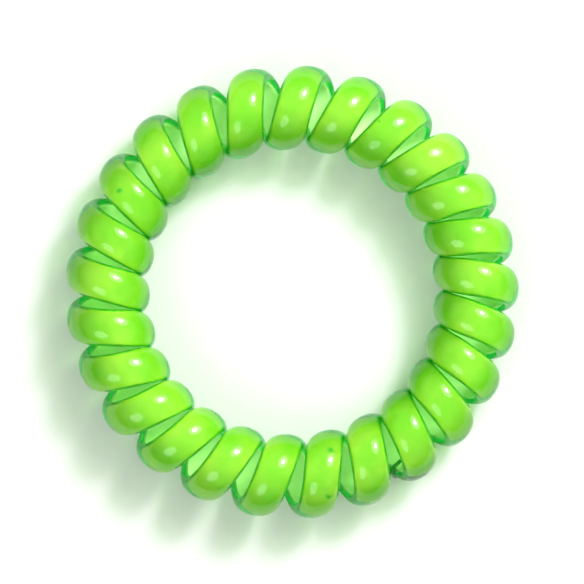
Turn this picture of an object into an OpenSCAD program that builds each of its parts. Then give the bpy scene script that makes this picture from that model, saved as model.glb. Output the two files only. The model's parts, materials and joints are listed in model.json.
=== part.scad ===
// Elastic coil ring: one springy strand is wound into a tight coil, and its two ends
// are welded together so that the coil closes on itself as a ring. The strand is clear
// and D-shaped, round back outwards, and an opaque lining covers its flat inner side.
// The ring lies flat on its lowest bends, with its own axis along +Z.
// The strand is divided at the bottom of every coil, because that is where it flexes.

/* [Ring] */
// Outside diameter of the ring
ring_d = 55; // [50:1:66]
// Outside diameter of the coil that the ring is made of
coil_d = 10.3; // [9:0.1:12]
// Coils round the ring
turns = 25; // [20:1:27]

/* [Strand] */
// Width of the strand where nothing presses on it
strand_w = 4.5; // [3.6:0.1:5.4]
// Thickness of the strand, from its round back to its flat side
strand_t = 1.9; // [1.6:0.1:2.3]
// Depth of the round back, less than the thickness
crown_t = 1.4; // [1:0.1:1.5]
// Least gap between neighbouring coils, which press the strand narrower
coil_gap = 0.1; // [0.1:0.05:0.3]

/* [Lining] */
// Thickness of the opaque lining
lining_t = 0.2; // [0.1:0.05:0.4]
// Clear margin between the lining and each edge of the strand
lining_margin = 0.65; // [0.2:0.05:0.8]

/* [Weld] */
// Place of the weld on its coil, in degrees below the outermost point
weld_phase = 50; // [40:1:60]
// Length of the flash that the weld leaves, along the strand
weld_l = 0.8; // [0.5:0.1:1.2]
// How far the flash stands out of the strand
weld_flash = 0.3; // [0.1:0.05:0.4]
// Coil that the weld is in, counted round the ring from +X
weld_coil = 21; // [0:1:26]

/* [Spacing] */
// Ring angle of the first coil's top
first_top = 4.3; // [0:0.1:14]
// How far the coils are bunched to one side of the ring, in degrees
bunch_once = 1.2; // [0:0.1:2]
// How far the coils are bunched at two opposite places, in degrees
bunch_twice = 2.05; // [0:0.05:2.5]

/* [Hidden] */
coil_r = coil_d / 2;
mid_r = ring_d / 2 - coil_r;
// Places along the strand are counted in coils: a whole number is an outermost point,
// a quarter past it is a top, a half is an innermost point and three quarters a bottom.
top_share = 0.25;
bottom_share = 0.75;
ring_step = 0.05;
nudge = 0.002;
arc_steps = 6;

first_cut = weld_coil + bottom_share - 1;
weld_at = weld_coil - weld_phase / 360;
bead_half = weld_l / 2 / (360 * (coil_r - strand_t / 2) * PI / 180);
stub = weld_at - first_cut;

two_digits = function (i) str(i < 10 ? "0" : "", i);

clear_green = [0.56, 0.9, 0.25, 0.75];
pale_green = [0.62, 0.86, 0.55];
deep_green = [0.1, 0.6, 0.12];

// The ring angle of a place along the strand: even spacing, then the bunching.
function even_angle(t) = 360 * (t - top_share) / turns;
function ring_angle(t) = first_top + even_angle(t) - bunch_once * sin(even_angle(t))
                         - bunch_twice * sin(2 * even_angle(t));

// The direction out of the coil's own axis, and the helix that lies depth below its outside.
function outward(t) = let (a = ring_angle(t), b = 360 * t)
    [cos(b) * cos(a), cos(b) * sin(a), sin(b)];
function helix(t, depth = 0) = let (a = ring_angle(t))
    [mid_r * cos(a), mid_r * sin(a), coil_r] + (coil_r - depth) * outward(t);

function unit(v) = v / norm(v);
function along(t) = unit(helix(t + nudge) - helix(t - nudge));
function back(t) = unit(outward(t) - (outward(t) * along(t)) * along(t));
function across(t) = cross(along(t), back(t));

// The room between neighbouring coils at the strand's widest line, and the width it leaves.
function room(t) = min([for (s = [-1, 1])
    abs((helix(t + s, crown_t) - helix(t, crown_t)) * across(t))]);
function width(t) = min(strand_w, room(t) - coil_gap);

// Outlines as [across, back] points: the flat side holds the lining's two edges.
function strand_outline(w, grow = 0, flat = strand_t) =
    let (h = w / 2 + grow, l = w / 2 - lining_margin)
    concat([[-l, -flat - grow], [l, -flat - grow], [h, -flat - grow]],
           [for (i = [0:arc_steps]) let (a = 180 * i / arc_steps)
               [h * cos(a), -crown_t + (crown_t + grow) * sin(a)]],
           [[-h, -flat - grow]]);
function lining_outline(w) = let (l = w / 2 - lining_margin)
    [[l, -strand_t], [-l, -strand_t], [-l, -strand_t - lining_t], [l, -strand_t - lining_t]];

function placed(outline, t) = let (o = helix(t), u = across(t), v = back(t))
    [for (p = outline) o + p[0] * u + p[1] * v];

// A closed skin over rings of points. A falling split turns every face's diagonal over,
// so that two skins that share a face have the same triangles there.
module skin(rings, falling = false) {
    n = len(rings[0]);
    m = len(rings);
    sides = [for (i = [0:m - 2], j = [0:n - 1])
        let (a = i * n + j, b = i * n + (j + 1) % n, c = a + n, d = b + n)
        each falling ? [[a, c, b], [b, c, d]] : [[a, c, d], [a, d, b]]];
    start = [for (j = [0:n - 1]) j];
    end = [for (j = [n - 1:-1:0]) (m - 1) * n + j];
    polyhedron([for (r = rings) each r], concat([start, end], sides), 4);
}

function stations(from, to) = let (n = max(2, round((to - from) / ring_step)))
    [for (i = [0:n]) from + (to - from) * i / n];

module strand_piece(from, to)
    color(clear_green) skin([for (t = stations(from, to)) placed(strand_outline(width(t)), t)]);

module lining_piece(from, to)
    color(pale_green)
        skin([for (t = stations(from, to)) placed(lining_outline(width(t)), t)], true);

// Coils run from one bottom to the next, and the first one starts past the weld's stub.
function coil_start(i) = i == 1 ? weld_at + stub : first_cut + i - 1;
function coil_end(i) = first_cut + i;

module strand_turn(i) strand_piece(coil_start(i), coil_end(i));
module lining_turn(i) lining_piece(coil_start(i), coil_end(i));
module strand_tail() strand_piece(first_cut, weld_at - bead_half);
module lining_tail() lining_piece(first_cut, weld_at - bead_half);
module strand_head() strand_piece(weld_at + bead_half, weld_at + stub);
module lining_head() lining_piece(weld_at + bead_half, weld_at + stub);

// The fused joint between the two ends, strand and lining, with the flash that it pushes
// out all round.
module weld_bead()
    color(deep_green)
        skin([for (s = [[-1, 0], [-0.5, 1], [0.5, 1], [1, 0]])
            let (t = weld_at + s[0] * bead_half)
            placed(strand_outline(width(t), s[1] * weld_flash, strand_t + lining_t), t)]);

for (i = [1:turns])
    strand_turn(i);
for (i = [1:turns])
    lining_turn(i);
strand_tail();
strand_head();
lining_tail();
lining_head();
weld_bead();
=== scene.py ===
"""Elastic coil ring: a clear D-shaped strand with an opaque lining, coiled and welded into a ring."""
import json

import bpy
import numpy as np
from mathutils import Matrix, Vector

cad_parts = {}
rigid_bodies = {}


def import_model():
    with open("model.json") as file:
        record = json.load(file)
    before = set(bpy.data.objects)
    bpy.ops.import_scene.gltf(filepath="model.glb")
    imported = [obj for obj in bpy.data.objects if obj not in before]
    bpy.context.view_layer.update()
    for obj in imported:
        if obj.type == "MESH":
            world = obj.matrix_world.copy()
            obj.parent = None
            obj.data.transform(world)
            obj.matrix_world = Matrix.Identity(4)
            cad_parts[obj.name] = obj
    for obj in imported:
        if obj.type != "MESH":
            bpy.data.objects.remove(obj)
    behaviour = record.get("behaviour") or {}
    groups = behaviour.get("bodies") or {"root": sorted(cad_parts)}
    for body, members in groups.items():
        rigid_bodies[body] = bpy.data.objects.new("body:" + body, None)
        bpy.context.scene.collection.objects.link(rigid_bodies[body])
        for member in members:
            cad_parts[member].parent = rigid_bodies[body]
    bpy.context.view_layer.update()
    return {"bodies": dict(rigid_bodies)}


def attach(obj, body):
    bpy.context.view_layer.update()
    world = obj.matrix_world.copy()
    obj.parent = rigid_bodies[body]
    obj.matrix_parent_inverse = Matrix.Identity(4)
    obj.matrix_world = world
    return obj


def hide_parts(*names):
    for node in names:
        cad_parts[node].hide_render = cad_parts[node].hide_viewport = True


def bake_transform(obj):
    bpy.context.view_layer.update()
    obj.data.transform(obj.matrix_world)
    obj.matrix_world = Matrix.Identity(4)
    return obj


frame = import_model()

# ---------------------------------------------------------------------------------------
# The clear strand: a thermoplastic polyurethane extrusion with a round back and a flat
# inner side, wound hot round a mandrel. Each coil is an arch over the top that moves with
# its own body, and a link under the bottom that stays where it is built and doesn't bend.

RING_D = 0.055
COIL_D = 0.0103
COIL_R = COIL_D / 2
MID_R = RING_D / 2 - COIL_R
TURNS = sum(name.startswith("turn_") for name in frame["bodies"])

STRAND_W = 0.0045
STRAND_T = 0.0019
CROWN_T = 0.0014
COIL_GAP = 0.00008
NARROWING = 0.00015
CORNER = 5.0
NUDGE = 1e-4

FIRST_TOP = 4.3
BUNCH_ONCE = 1.2
BUNCH_TWICE = 2.05
WELD_COIL = 21
WELD_PHASE = 50
FIRST_CUT = WELD_COIL - 0.25
OVERLAP = 10 / 360
RINGS_PER_COIL = 150
SECTION_POINTS = 44
SLIT = 0.0002


def ring_angle(t):
    """Ring angle in radians at t coils along the strand: even spacing, plus one bunching
    wave and one that comes twice round the ring. A whole t is an outermost point."""
    even = 2 * np.pi * (t - 0.25) / TURNS
    bunching = np.radians(BUNCH_ONCE) * np.sin(even) + np.radians(BUNCH_TWICE) * np.sin(2 * even)
    return np.radians(FIRST_TOP) + even - bunching


def outward(t):
    """The direction out of the coil's own axis: it turns once a coil in the plane through
    the ring's axis."""
    ring, coil = ring_angle(t), 2 * np.pi * t
    flat = np.cos(coil)
    return np.stack([flat * np.cos(ring), flat * np.sin(ring), np.sin(coil)], -1)


def helix(t, depth=0.0):
    """The helix round the ring that lies depth below the coil's outside."""
    ring = ring_angle(t)
    axis = np.stack([MID_R * np.cos(ring), MID_R * np.sin(ring), np.full_like(ring, COIL_R)], -1)
    return axis + (COIL_R - depth) * outward(t)


def unit(v):
    return v / np.linalg.norm(v, axis=-1, keepdims=True)


def strand_axes(t):
    """Unit vectors across the strand and out of its back: along is the helix's tangent,
    back is outward less its part along the tangent, and across is along x back."""
    along = unit(helix(t + NUDGE) - helix(t - NUDGE))
    out = outward(t)
    back = unit(out - (out * along).sum(-1, keepdims=True) * along)
    return np.cross(along, back), back


def strand_width(t):
    """The strand's own width, or less where its neighbours press on it: a smooth minimum
    of the width and the room between the coils."""
    across, _ = strand_axes(t)
    here = helix(t, CROWN_T)
    room = np.minimum(abs(((helix(t + 1, CROWN_T) - here) * across).sum(-1)),
                      abs(((helix(t - 1, CROWN_T) - here) * across).sum(-1))) - COIL_GAP
    step = np.clip(0.5 + (room - STRAND_W) / (2 * NARROWING), 0, 1)
    return room * (1 - step) + STRAND_W * step - NARROWING * step * (1 - step)


def strand_section(w, around):
    """The D-shaped outline at angle around: half an ellipse for the round back, and a
    superellipse with tight corners for the flat side. Returns across and back distances."""
    c, s = np.cos(around), np.sin(around)
    tight = 2 / CORNER
    u = np.where(s > 0, c, np.sign(c) * abs(c) ** tight)
    v = np.where(s > 0, CROWN_T * s, -(STRAND_T - CROWN_T) * abs(s) ** tight) - CROWN_T
    return w[:, None] / 2 * u, np.broadcast_to(v, (len(w), len(around)))


def carried(t, u, v):
    """Points of an outline carried along the strand: helix + u across + v back."""
    across, back = strand_axes(t)
    return helix(t)[:, None] + u[..., None] * across[:, None] + v[..., None] * back[:, None]


def stations(start, end):
    """Places along the strand from start to end, with one more beyond each end for slopes."""
    n = max(3, int(round((end - start) * RINGS_PER_COIL)))
    return start + (end - start) * np.arange(-1, n + 2) / n


def tube(name, points, slots, ends_slot):
    """A closed tube through rings of points. The first and last rings only give the slopes,
    and each normal is the slope along the strand crossed with the slope round the section."""
    normals = unit(np.cross(np.gradient(points, axis=0),
                            np.roll(points, -1, 1) - np.roll(points, 1, 1)))[1:-1]
    points = points[1:-1]
    rings, around = points.shape[:2]
    i, j = np.meshgrid(np.arange(rings - 1), np.arange(around), indexing="ij")
    k = (j + 1) % around
    quads = np.stack([i * around + j, i * around + k, (i + 1) * around + k, (i + 1) * around + j],
                     -1).reshape(-1, 4)
    first = np.arange(around)
    last = (rings - 1) * around + first
    inside_out = (normals[0, 0] * (points[0, 0] - points[0].mean(0))).sum() < 0
    if inside_out:
        normals = -normals
    caps = [first[::-1].tolist(), last.tolist()]
    side = np.cross(points[0, 1] - points[0, 0], points[1, 0] - points[0, 0])
    if (side * (points[0, 0] - points[0].mean(0))).sum() < 0:
        quads = quads[:, ::-1]
        caps = [first.tolist(), last[::-1].tolist()]
    mesh = bpy.data.meshes.new(name)
    mesh.from_pydata(points.reshape(-1, 3).tolist(), [], quads.tolist() + caps)
    uv = mesh.uv_layers.new(name="along_and_round")
    length = np.linalg.norm(np.diff(points.mean(1), axis=0), axis=1)
    along = np.concatenate([[0], np.cumsum(length)]) / STRAND_W
    grid = np.stack(np.broadcast_arrays(along[:, None], np.arange(around) / around), -1)
    loops = np.empty(len(mesh.loops), np.int32)
    mesh.loops.foreach_get("vertex_index", loops)
    placed = grid.reshape(-1, 2)[loops].astype(np.float32)
    share = placed[:quads.size, 1].reshape(-1, 4)
    closing = (share == 0) & (share.max(1, keepdims=True) > 0.9)
    placed[:quads.size, 1] = np.where(closing, 1, share).ravel()
    uv.data.foreach_set("uv", placed.ravel())
    for material in slots:
        mesh.materials.append(material)
    which = np.zeros(len(mesh.polygons), np.int32)
    which[-2:] = ends_slot
    mesh.polygons.foreach_set("material_index", which)
    mesh.polygons.foreach_set("use_smooth", np.ones(len(which), bool))
    mesh.normals_split_custom_set_from_vertices(normals.reshape(-1, 3).tolist())
    piece = bpy.data.objects.new(name, mesh)
    bpy.context.scene.collection.objects.link(piece)
    return piece


class Sock:
    """A shader socket whose sums, products and powers add Math nodes."""

    def __init__(self, tree, socket):
        self.tree, self.socket = tree, socket

    def node(self, kind, settings=(), inputs=(), out=0):
        """Adds a node of that type, sets its settings first and then its sockets, each a
        value or another Sock, and returns one of its outputs."""
        made = self.tree.nodes.new(kind)
        for key, value in dict(settings).items():
            setattr(made, key, value)
        for key, value in dict(inputs).items():
            if isinstance(value, Sock):
                self.tree.links.new(value.socket, made.inputs[key])
            else:
                made.inputs[key].default_value = value
        return Sock(self.tree, made.outputs[out])

    def math(self, operation, *values):
        return self.node("ShaderNodeMath", {"operation": operation}, enumerate(values))

    def __add__(self, other):
        return self.math("ADD", self, other)

    def __sub__(self, other):
        return self.math("SUBTRACT", self, other)

    def __mul__(self, other):
        return self.math("MULTIPLY", self, other)

    def __rsub__(self, other):
        return self.math("SUBTRACT", other, self)

    __radd__ = __add__
    __rmul__ = __mul__

    def smooth(self, low, high):
        """0 below low, 1 above high, and an S-shaped rise between."""
        return self.node("ShaderNodeMapRange", {"interpolation_type": "SMOOTHSTEP"},
                         {"Value": self, "From Min": low, "From Max": high})

    def mix(self, first, second):
        """The first colour where this is 0 and the second where it is 1."""
        return self.node("ShaderNodeMix", {"data_type": "RGBA"}, {0: self, 6: first, 7: second}, 2)


def material(name, plain):
    """A new material whose Principled shader has these plain values, the shader's own
    sockets and a Sock to start expressions from."""
    made = bpy.data.materials.new(name)
    made.use_nodes = True
    tree = made.node_tree
    shader = tree.nodes["Principled BSDF"]
    for key, value in plain.items():
        shader.inputs[key].default_value = value
    where = tree.nodes.new("ShaderNodeTexCoord")
    return made, shader, Sock(tree, where.outputs["Object"])


def link(value, socket):
    value.tree.links.new(value.socket, socket)


PALE_TINT = (0.78, 1.0, 0.62, 1)
LIME_TINT = (0.60, 0.97, 0.46, 1)
# painted shade: a dark green painted along both side edges of the strand, standing in for the dark
# that a long path through the plastic and the shade between the coils give there
EDGE_PAINTED_SHADE = (0.012, 0.38, 0.01, 1)
EDGE_PAINTED_SHADE_BAND = (0.035, 0.085)
CLOUD_BAND = (0.3, 0.7)
STRAND_IOR = 1.49

clear, shader, place = material("clear_green_strand", {
    "Transmission Weight": 1.0, "IOR": STRAND_IOR})
cloud = place.node("ShaderNodeTexNoise", {}, {"Vector": place, "Scale": 160.0, "Detail": 3.0}, 0)
grain = place.node("ShaderNodeTexNoise", {}, {"Vector": place, "Scale": 2600.0, "Detail": 2.0}, 0)
flow = place.node("ShaderNodeTexCoord", (), (), "UV")
drawn = place.node("ShaderNodeMapping", {}, {"Vector": flow, "Scale": (0.35, 22.0, 1.0)})
drag = place.node("ShaderNodeTexNoise", {}, {"Vector": drawn, "Scale": 1.0, "Detail": 3.0}, 0)
place_round = flow.node("ShaderNodeSeparateXYZ", {}, {"Vector": flow}, "Y")
from_edge = place_round.math("PINGPONG", place_round, 0.25)
tint = cloud.smooth(*CLOUD_BAND).mix(PALE_TINT, LIME_TINT)
# the strand's side edges get the painted shade, and the rest gets the plastic's own tint
link(from_edge.smooth(*EDGE_PAINTED_SHADE_BAND).mix(EDGE_PAINTED_SHADE, tint), shader.inputs["Base Color"])
link(0.06 + grain * 0.06, shader.inputs["Roughness"])
bumped = place.node("ShaderNodeBump", {}, {"Strength": 0.12, "Distance": 0.00012,
                                           "Height": drag + grain * 0.15})
link(bumped, shader.inputs["Normal"])

# Light that meets the surface from inside has come through the plastic, which takes out blue
# first, then red, and green last: each is what is left after a millimetre, to the power of
# the millimetres that the light has come. The plastic is a little milky as well, so that a
# long way through it glows dark green.
LEFT_AFTER_MM = (0.50, 0.94, 0.38)
CLEAR_AFTER_MM = 0.82
HAZE_GREEN = (0.02, 0.80, 0.14, 1)
SHADE_TINT = (0.34, 0.58, 0.18, 1)
MM = 1000.0

inside = place.tree.nodes.new("ShaderNodeBsdfPrincipled")
inside.name = "seen_through_the_plastic"
inside.inputs["Transmission Weight"].default_value = 1.0
inside.inputs["IOR"].default_value = STRAND_IOR
inside.inputs["Roughness"].default_value = 0.05
depth = place.node("ShaderNodeLightPath", (), (), "Ray Length") * MM
left = place.node("ShaderNodeCombineColor", {}, {
    part: depth.math("POWER", base, depth) for part, base in
    zip(("Red", "Green", "Blue"), LEFT_AFTER_MM)})
link(left, inside.inputs["Base Color"])
haze = place.node("ShaderNodeBsdfTranslucent", {}, {"Color": HAZE_GREEN})
milky = 1 - depth.math("POWER", CLEAR_AFTER_MM, depth)
from_inside = place.node("ShaderNodeMixShader", {}, {
    0: milky, 1: Sock(place.tree, inside.outputs[0]), 2: haze})
behind = place.node("ShaderNodeNewGeometry", (), (), "Backfacing")
both = place.node("ShaderNodeMixShader", {}, {
    0: behind, 1: Sock(place.tree, shader.outputs[0]), 2: from_inside})
tinted = place.node("ShaderNodeBsdfTransparent", {}, {"Color": SHADE_TINT})
to_a_lamp = place.node("ShaderNodeLightPath", (), (), "Is Shadow Ray")
lit = place.node("ShaderNodeMixShader", {}, {0: to_a_lamp, 1: both, 2: tinted})
link(lit, place.tree.nodes["Material Output"].inputs["Surface"])

# Where the strand is divided there is no surface: the same plastic goes on past the cut.
division = bpy.data.materials.new("division_inside_the_strand")
division.use_nodes = True
tree = division.node_tree
tree.nodes.remove(tree.nodes["Principled BSDF"])
tree.links.new(tree.nodes.new("ShaderNodeBsdfTransparent").outputs[0],
               tree.nodes["Material Output"].inputs["Surface"])

around = np.linspace(0, 2 * np.pi, SECTION_POINTS, endpoint=False)


def strand_length(name, start, end):
    """A closed length of clear strand, with a division at each end."""
    t = stations(start, end)
    piece = tube(name, carried(t, *strand_section(strand_width(t), around)), [clear, division], 1)
    return piece


def top_of(i):
    """Where coil i passes over the top, in coils along the strand."""
    return FIRST_CUT + i - 0.5


def radial_point(t, distance):
    """A point level with the coil's axis, distance outwards from it, at t's ring angle."""
    ring = ring_angle(t)
    return ((MID_R + distance) * np.cos(ring), (MID_R + distance) * np.sin(ring), COIL_R)


WELD_AT = WELD_COIL - WELD_PHASE / 360
HEAD_END = WELD_COIL + 0.125
BEAD_HALF = 0.0155
FLEX = 0.0035
TAIL_FLEX_END = 0.0024


def arch_span(i):
    """The ends of the arch of coil i, short of the links by a slit."""
    start = HEAD_END if i == 1 else top_of(i) - 0.25 - OVERLAP
    return start + SLIT, top_of(i) + 0.25 + OVERLAP - SLIT


def flexing(piece, i):
    """Leaves a link under the ring between coil i and the next one, or the weld's tail, where it was
    built, with its placing baked in; nothing bends it.
    """
    bottom = FIRST_CUT + i
    last = i == TURNS
    radial_point(bottom, -FLEX)
    radial_point(bottom, TAIL_FLEX_END if last else FLEX)
    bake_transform(piece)


def heading(piece):
    """Leaves the length after the weld, which runs up the outside of the ring to the first coil,
    where it was built, with its placing baked in; nothing bends it.
    """
    x, y, _ = radial_point(WELD_COIL, 0)
    low, high = helix(np.array([WELD_AT, HEAD_END]))[:, 2]
    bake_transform(piece)


def link_span(i):
    """The ends of the link between coil i and the next one, or the weld."""
    end = WELD_AT + TURNS - BEAD_HALF if i == TURNS else top_of(i + 1) - 0.25 - OVERLAP
    return top_of(i) + 0.25 + OVERLAP, end


for i in range(1, TURNS + 1):
    arch = strand_length(f"strand_arch_{i:02d}", *arch_span(i))
    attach(arch, f"turn_{i:02d}")
    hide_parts(f"strand_turn_{i:02d}")
    under = strand_length(f"strand_link_{i:02d}", *link_span(i))
    flexing(under, i)
    if i == TURNS:
        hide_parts("strand_tail")
after_weld = strand_length("strand_after_weld", WELD_AT + BEAD_HALF, HEAD_END)
heading(after_weld)
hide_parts("strand_head")

# ---------------------------------------------------------------------------------------
# The lining: an opaque pale green layer that is extruded with the strand, on its flat
# inner side. It stops a little short of both edges, and has a few specks and pinholes.

LINING_T = 0.00020
LINING_SUNK = 0.00008
LINING_MARGIN = 0.00065
LINING_POINTS = 20
LINING_CORNER = 6.0

# Specks as ring angle, angle up the coil from its outermost point, and size.
SPECKS = [(149.6, 62, 0.0005), (38.5, 40, 0.0006), (279.8, 47, 0.0005), (283.1, 137, 0.0005),
          (62.2, 80, 0.0003)]


def lining_section(w, around):
    """A flat strip with round edges, a superellipse sunk a little into the flat side."""
    c, s = np.cos(around), np.sin(around)
    tight = 2 / LINING_CORNER
    u = np.sign(c) * abs(c) ** tight
    v = np.sign(s) * abs(s) ** tight * (LINING_T + LINING_SUNK) / 2
    middle = -STRAND_T + (LINING_SUNK - LINING_T) / 2
    return (w[:, None] / 2 - LINING_MARGIN) * u, np.broadcast_to(middle + v, (len(w), len(around)))


OUTER_PALE = (0.74, 0.67, 0.105, 1)
OUTER_DEEP = (0.44, 0.60, 0.04, 1)
INNER_PALE = (0.68, 0.95, 0.46, 1)
SPECK_GREEN = (0.03, 0.42, 0.06, 1)
SPECK_STRENGTH = 0.85
SPECK_RAGGED = 1.6
SPECK_FADE = (0.15, 0.95)
INNER_HALF = (0.48, 0.52)

opaque, shader, place = material("pale_green_lining", {"Specular IOR Level": 0.35})
cloud = place.node("ShaderNodeTexNoise", {}, {"Vector": place, "Scale": 220.0, "Detail": 4.0}, 0)
grain = place.node("ShaderNodeTexNoise", {}, {"Vector": place, "Scale": 5200.0, "Detail": 3.0}, 0)
blotch = place.node("ShaderNodeTexNoise", {}, {"Vector": place, "Scale": 1500.0, "Detail": 2.0}, 0)
speck = 0.0
for angle, phase, size in SPECKS:
    ring, up = np.radians([angle, phase])
    radius = MID_R + (COIL_R - STRAND_T) * np.cos(up)
    height = COIL_R + (COIL_R - STRAND_T) * np.sin(up)
    centre = (radius * np.cos(ring), radius * np.sin(ring), height)
    far = place.node("ShaderNodeVectorMath", {"operation": "DISTANCE"}, {0: place, 1: centre}, 1)
    ragged = far + (blotch - 0.5) * (size * SPECK_RAGGED)
    apart = ragged.smooth(size * SPECK_FADE[0], size * SPECK_FADE[1])
    speck = SPECK_STRENGTH - SPECK_STRENGTH * apart + speck
outer = cloud.smooth(*CLOUD_BAND).mix(OUTER_DEEP, OUTER_PALE)
flow = place.node("ShaderNodeTexCoord", (), (), "UV")
place_round = flow.node("ShaderNodeSeparateXYZ", {}, {"Vector": flow}, "Y")
facing_in = place_round.smooth(*INNER_HALF)
sided = facing_in.mix(outer, INNER_PALE)
link(speck.mix(sided, SPECK_GREEN), shader.inputs["Base Color"])
link(0.45 + grain * 0.3, shader.inputs["Roughness"])
bumped = place.node("ShaderNodeBump", {}, {"Strength": 0.3, "Distance": 0.00005, "Height": grain})
link(bumped, shader.inputs["Normal"])

lining_around = np.linspace(0, 2 * np.pi, LINING_POINTS, endpoint=False)


def lining_length(name, start, end):
    """A closed length of lining."""
    t = stations(start, end)
    piece = tube(name, carried(t, *lining_section(strand_width(t), lining_around)), [opaque], 0)
    return piece


for i in range(1, TURNS + 1):
    arch = lining_length(f"lining_arch_{i:02d}", *arch_span(i))
    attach(arch, f"turn_{i:02d}")
    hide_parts(f"lining_turn_{i:02d}")
    under = lining_length(f"lining_link_{i:02d}", *link_span(i))
    flexing(under, i)
    if i == TURNS:
        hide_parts("lining_tail")
after_weld = lining_length("lining_after_weld", WELD_AT + BEAD_HALF, HEAD_END)
heading(after_weld)
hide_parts("lining_head")

# ---------------------------------------------------------------------------------------
# The weld: the strand's two ends are melted and pressed together, which pushes a lumpy
# flash out all round the joint and leaves it darker and glassy.

FLASH = 0.00030
FLASH_RINGS = 16
FLASH_PROUD = 0.1
FLASH_DIVE = -0.2
FLASH_REACH = 1.15
DARK_GREEN = (0.0, 0.20, 0.01, 1)
WELD_GREEN = (0.02, 0.55, 0.03, 1)

remelted, shader, place = material("remelted_weld", {
    "Transmission Weight": 0.6, "IOR": 1.49, "Coat Weight": 0.8, "Coat Roughness": 0.1})
lumps = place.node("ShaderNodeTexNoise", {}, {"Vector": place, "Scale": 1800.0, "Detail": 3.0}, 0)
link(lumps.smooth(0.35, 0.65).mix(DARK_GREEN, WELD_GREEN), shader.inputs["Base Color"])
link(0.08 + lumps * 0.2, shader.inputs["Roughness"])
bumped = place.node("ShaderNodeBump", {}, {"Strength": 0.5, "Distance": 0.00015, "Height": lumps})
link(bumped, shader.inputs["Normal"])

share = np.linspace(-1, 1, FLASH_RINGS)
swell = np.sqrt(1 - share ** 2) + FLASH_PROUD
# The flash stays just proud of both cut ends, then dives under the strand's surface.
share = np.concatenate([[-FLASH_REACH], share, [FLASH_REACH]])
swell = np.concatenate([[FLASH_DIVE], swell, [FLASH_DIVE]])[:, None]
t = WELD_AT + share * BEAD_HALF
lumpy = 1 + 0.25 * np.sin(3 * around + 1) + 0.2 * np.sin(7 * around + 2)
u, v = strand_section(strand_width(t), around)
u = u + FLASH * swell * lumpy * np.cos(around)
v = v + FLASH * swell * lumpy * np.sin(around)
bead = tube("weld_flash", carried(t, u, v), [remelted], 0)
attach(bead, "weld_tail")
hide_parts("weld_bead")

# ---------------------------------------------------------------------------------------
# The stage: a plain white floor, a soft key light from the upper right, a weak fill from
# the lower left and a white surround. The camera looks straight down.

FLOOR_SIDE = 3.0
FLOOR_DROP = 0.00005
FLOOR_DULL = (0.79, 0.80, 0.78, 1)
FLOOR_BRIGHT = (0.82, 0.82, 0.81, 1)
SKY_STRENGTH = 0.56
SKY_RISE = 0.6
SKY_LOW = (0.12, 0.13, 0.12, 1)
SKY_HIGH = (1, 1, 1, 1)

bpy.ops.mesh.primitive_plane_add(size=FLOOR_SIDE, location=(0, 0, -FLOOR_DROP))
floor = bpy.context.object
floor.name = "floor"
paper, shader, place = material("white_floor", {"Roughness": 0.7, "Specular IOR Level": 0.2})
tooth = place.node("ShaderNodeTexNoise", {}, {"Vector": place, "Scale": 60.0, "Detail": 3.0}, 0)
link(tooth.mix(FLOOR_DULL, FLOOR_BRIGHT), shader.inputs["Base Color"])
floor.data.materials.append(paper)

world = bpy.data.worlds.new("white_surround")
bpy.context.scene.world = world
world.use_nodes = True
sky = world.node_tree.nodes["Background"]
sky.inputs["Strength"].default_value = SKY_STRENGTH
direction = world.node_tree.nodes.new("ShaderNodeTexCoord").outputs["Generated"]
heading_up = Sock(world.node_tree, direction)
height = heading_up.node("ShaderNodeSeparateXYZ", {}, {"Vector": heading_up}, "Z")
link(height.smooth(0.0, SKY_RISE).mix(SKY_LOW, SKY_HIGH), sky.inputs["Color"])


def soft_light(name, at, size, watts):
    """A round area lamp at that place, facing the ring's centre."""
    lamp = bpy.data.lights.new(name, "AREA")
    lamp.energy = watts
    lamp.shape = "DISK"
    lamp.size = size
    holder = bpy.data.objects.new(name, lamp)
    holder.location = at
    holder.rotation_mode = "QUATERNION"
    holder.rotation_quaternion = (-Vector(at)).to_track_quat("-Z", "Y")
    bpy.context.scene.collection.objects.link(holder)


soft_light("key", (0.36, 0.42, 0.58), 0.18, 3.8)
soft_light("key_halo", (0.35, 0.41, 0.57), 0.50, 3.1)
soft_light("fill", (-0.34, -0.40, 0.55), 0.44, 1.5)

CAMERA_HEIGHT = 0.6
VIEW_WIDTH = 0.07075
view = bpy.data.cameras.new("overhead")
view.sensor_width = 36
view.lens = view.sensor_width * CAMERA_HEIGHT / VIEW_WIDTH
camera = bpy.data.objects.new("overhead", view)
camera.location = (0, 0, COIL_R + CAMERA_HEIGHT)
bpy.context.scene.collection.objects.link(camera)
bpy.context.scene.camera = camera

scene = bpy.context.scene
scene.view_settings.view_transform = "Standard"
scene.cycles.max_bounces = 24
scene.cycles.transmission_bounces = 24
scene.cycles.transparent_max_bounces = 32
